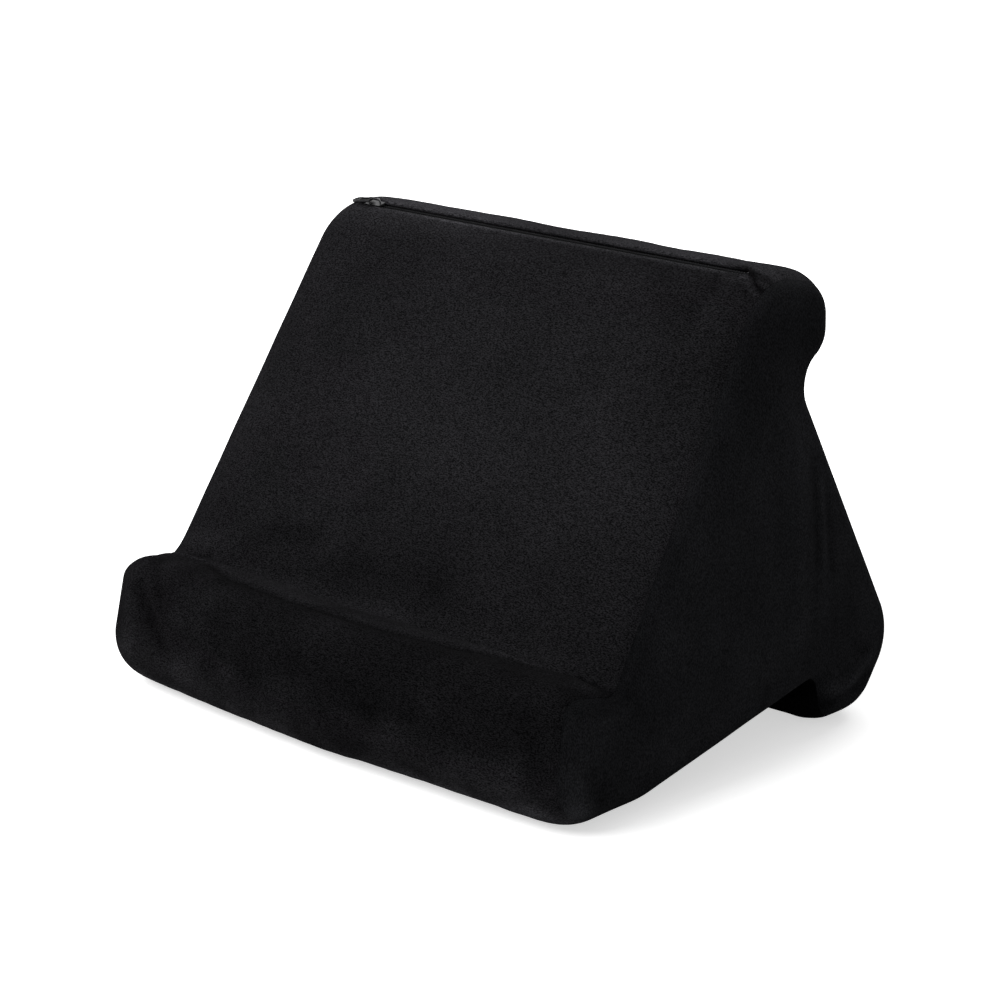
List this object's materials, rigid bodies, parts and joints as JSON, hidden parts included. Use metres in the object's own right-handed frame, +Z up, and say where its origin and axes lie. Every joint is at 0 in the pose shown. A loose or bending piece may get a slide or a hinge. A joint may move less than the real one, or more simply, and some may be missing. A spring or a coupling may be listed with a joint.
{
  "type": "pillow phone stand",
  "caption": "Soft three-way cushion stand for a phone or tablet: foam block with a ledge at each face, in a zipped plush cover.",
  "frame": {"origin": "on the floor, under the middle of the cushion's bounding box", "axes": "+X along the width, to the right for someone facing the front; -Y towards the user, where the front ledge is; +Z up"},
  "size_m": [0.2986, 0.2482, 0.2214],
  "materials": {
    "plush_band": "short dense black plush, sewn band",
    "plush_end": "short dense black plush, sewn end panel",
    "foam": "soft open-cell foam block, cut to shape",
    "zip_tape": "woven black zip tape",
    "zip_coil": "black nylon coil",
    "zip_metal": "dark plated zip metal"
  },
  "bodies": {
    "cushion": {"cover_band": "plush_band", "end_panel_left": "plush_end", "end_panel_right": "plush_end", "foam_core": "foam", "zip_tape_front": "zip_tape", "zip_tape_rear": "zip_tape", "zip_coil_front": "zip_coil", "zip_coil_rear": "zip_coil", "zip_top_stop_front": "zip_metal", "zip_top_stop_rear": "zip_metal", "zip_bottom_stop": "zip_metal"},
    "slider": {"zip_slider": "zip_metal"},
    "puller": {"zip_puller": "zip_metal"}
  },
  "joints": [
    {"name": "slider_travel", "type": "slide", "parent": "cushion", "child": "slider", "axis": [1, 0, 0], "range_m": [0, 0.2277]},
    {"name": "puller_swing", "type": "hinge", "parent": "slider", "child": "puller", "pos_m": [-0.11636, 0.03833, 0.21976], "axis": [0, 0.9729, 0.2312], "range_deg": [0, 186]}
  ]
}
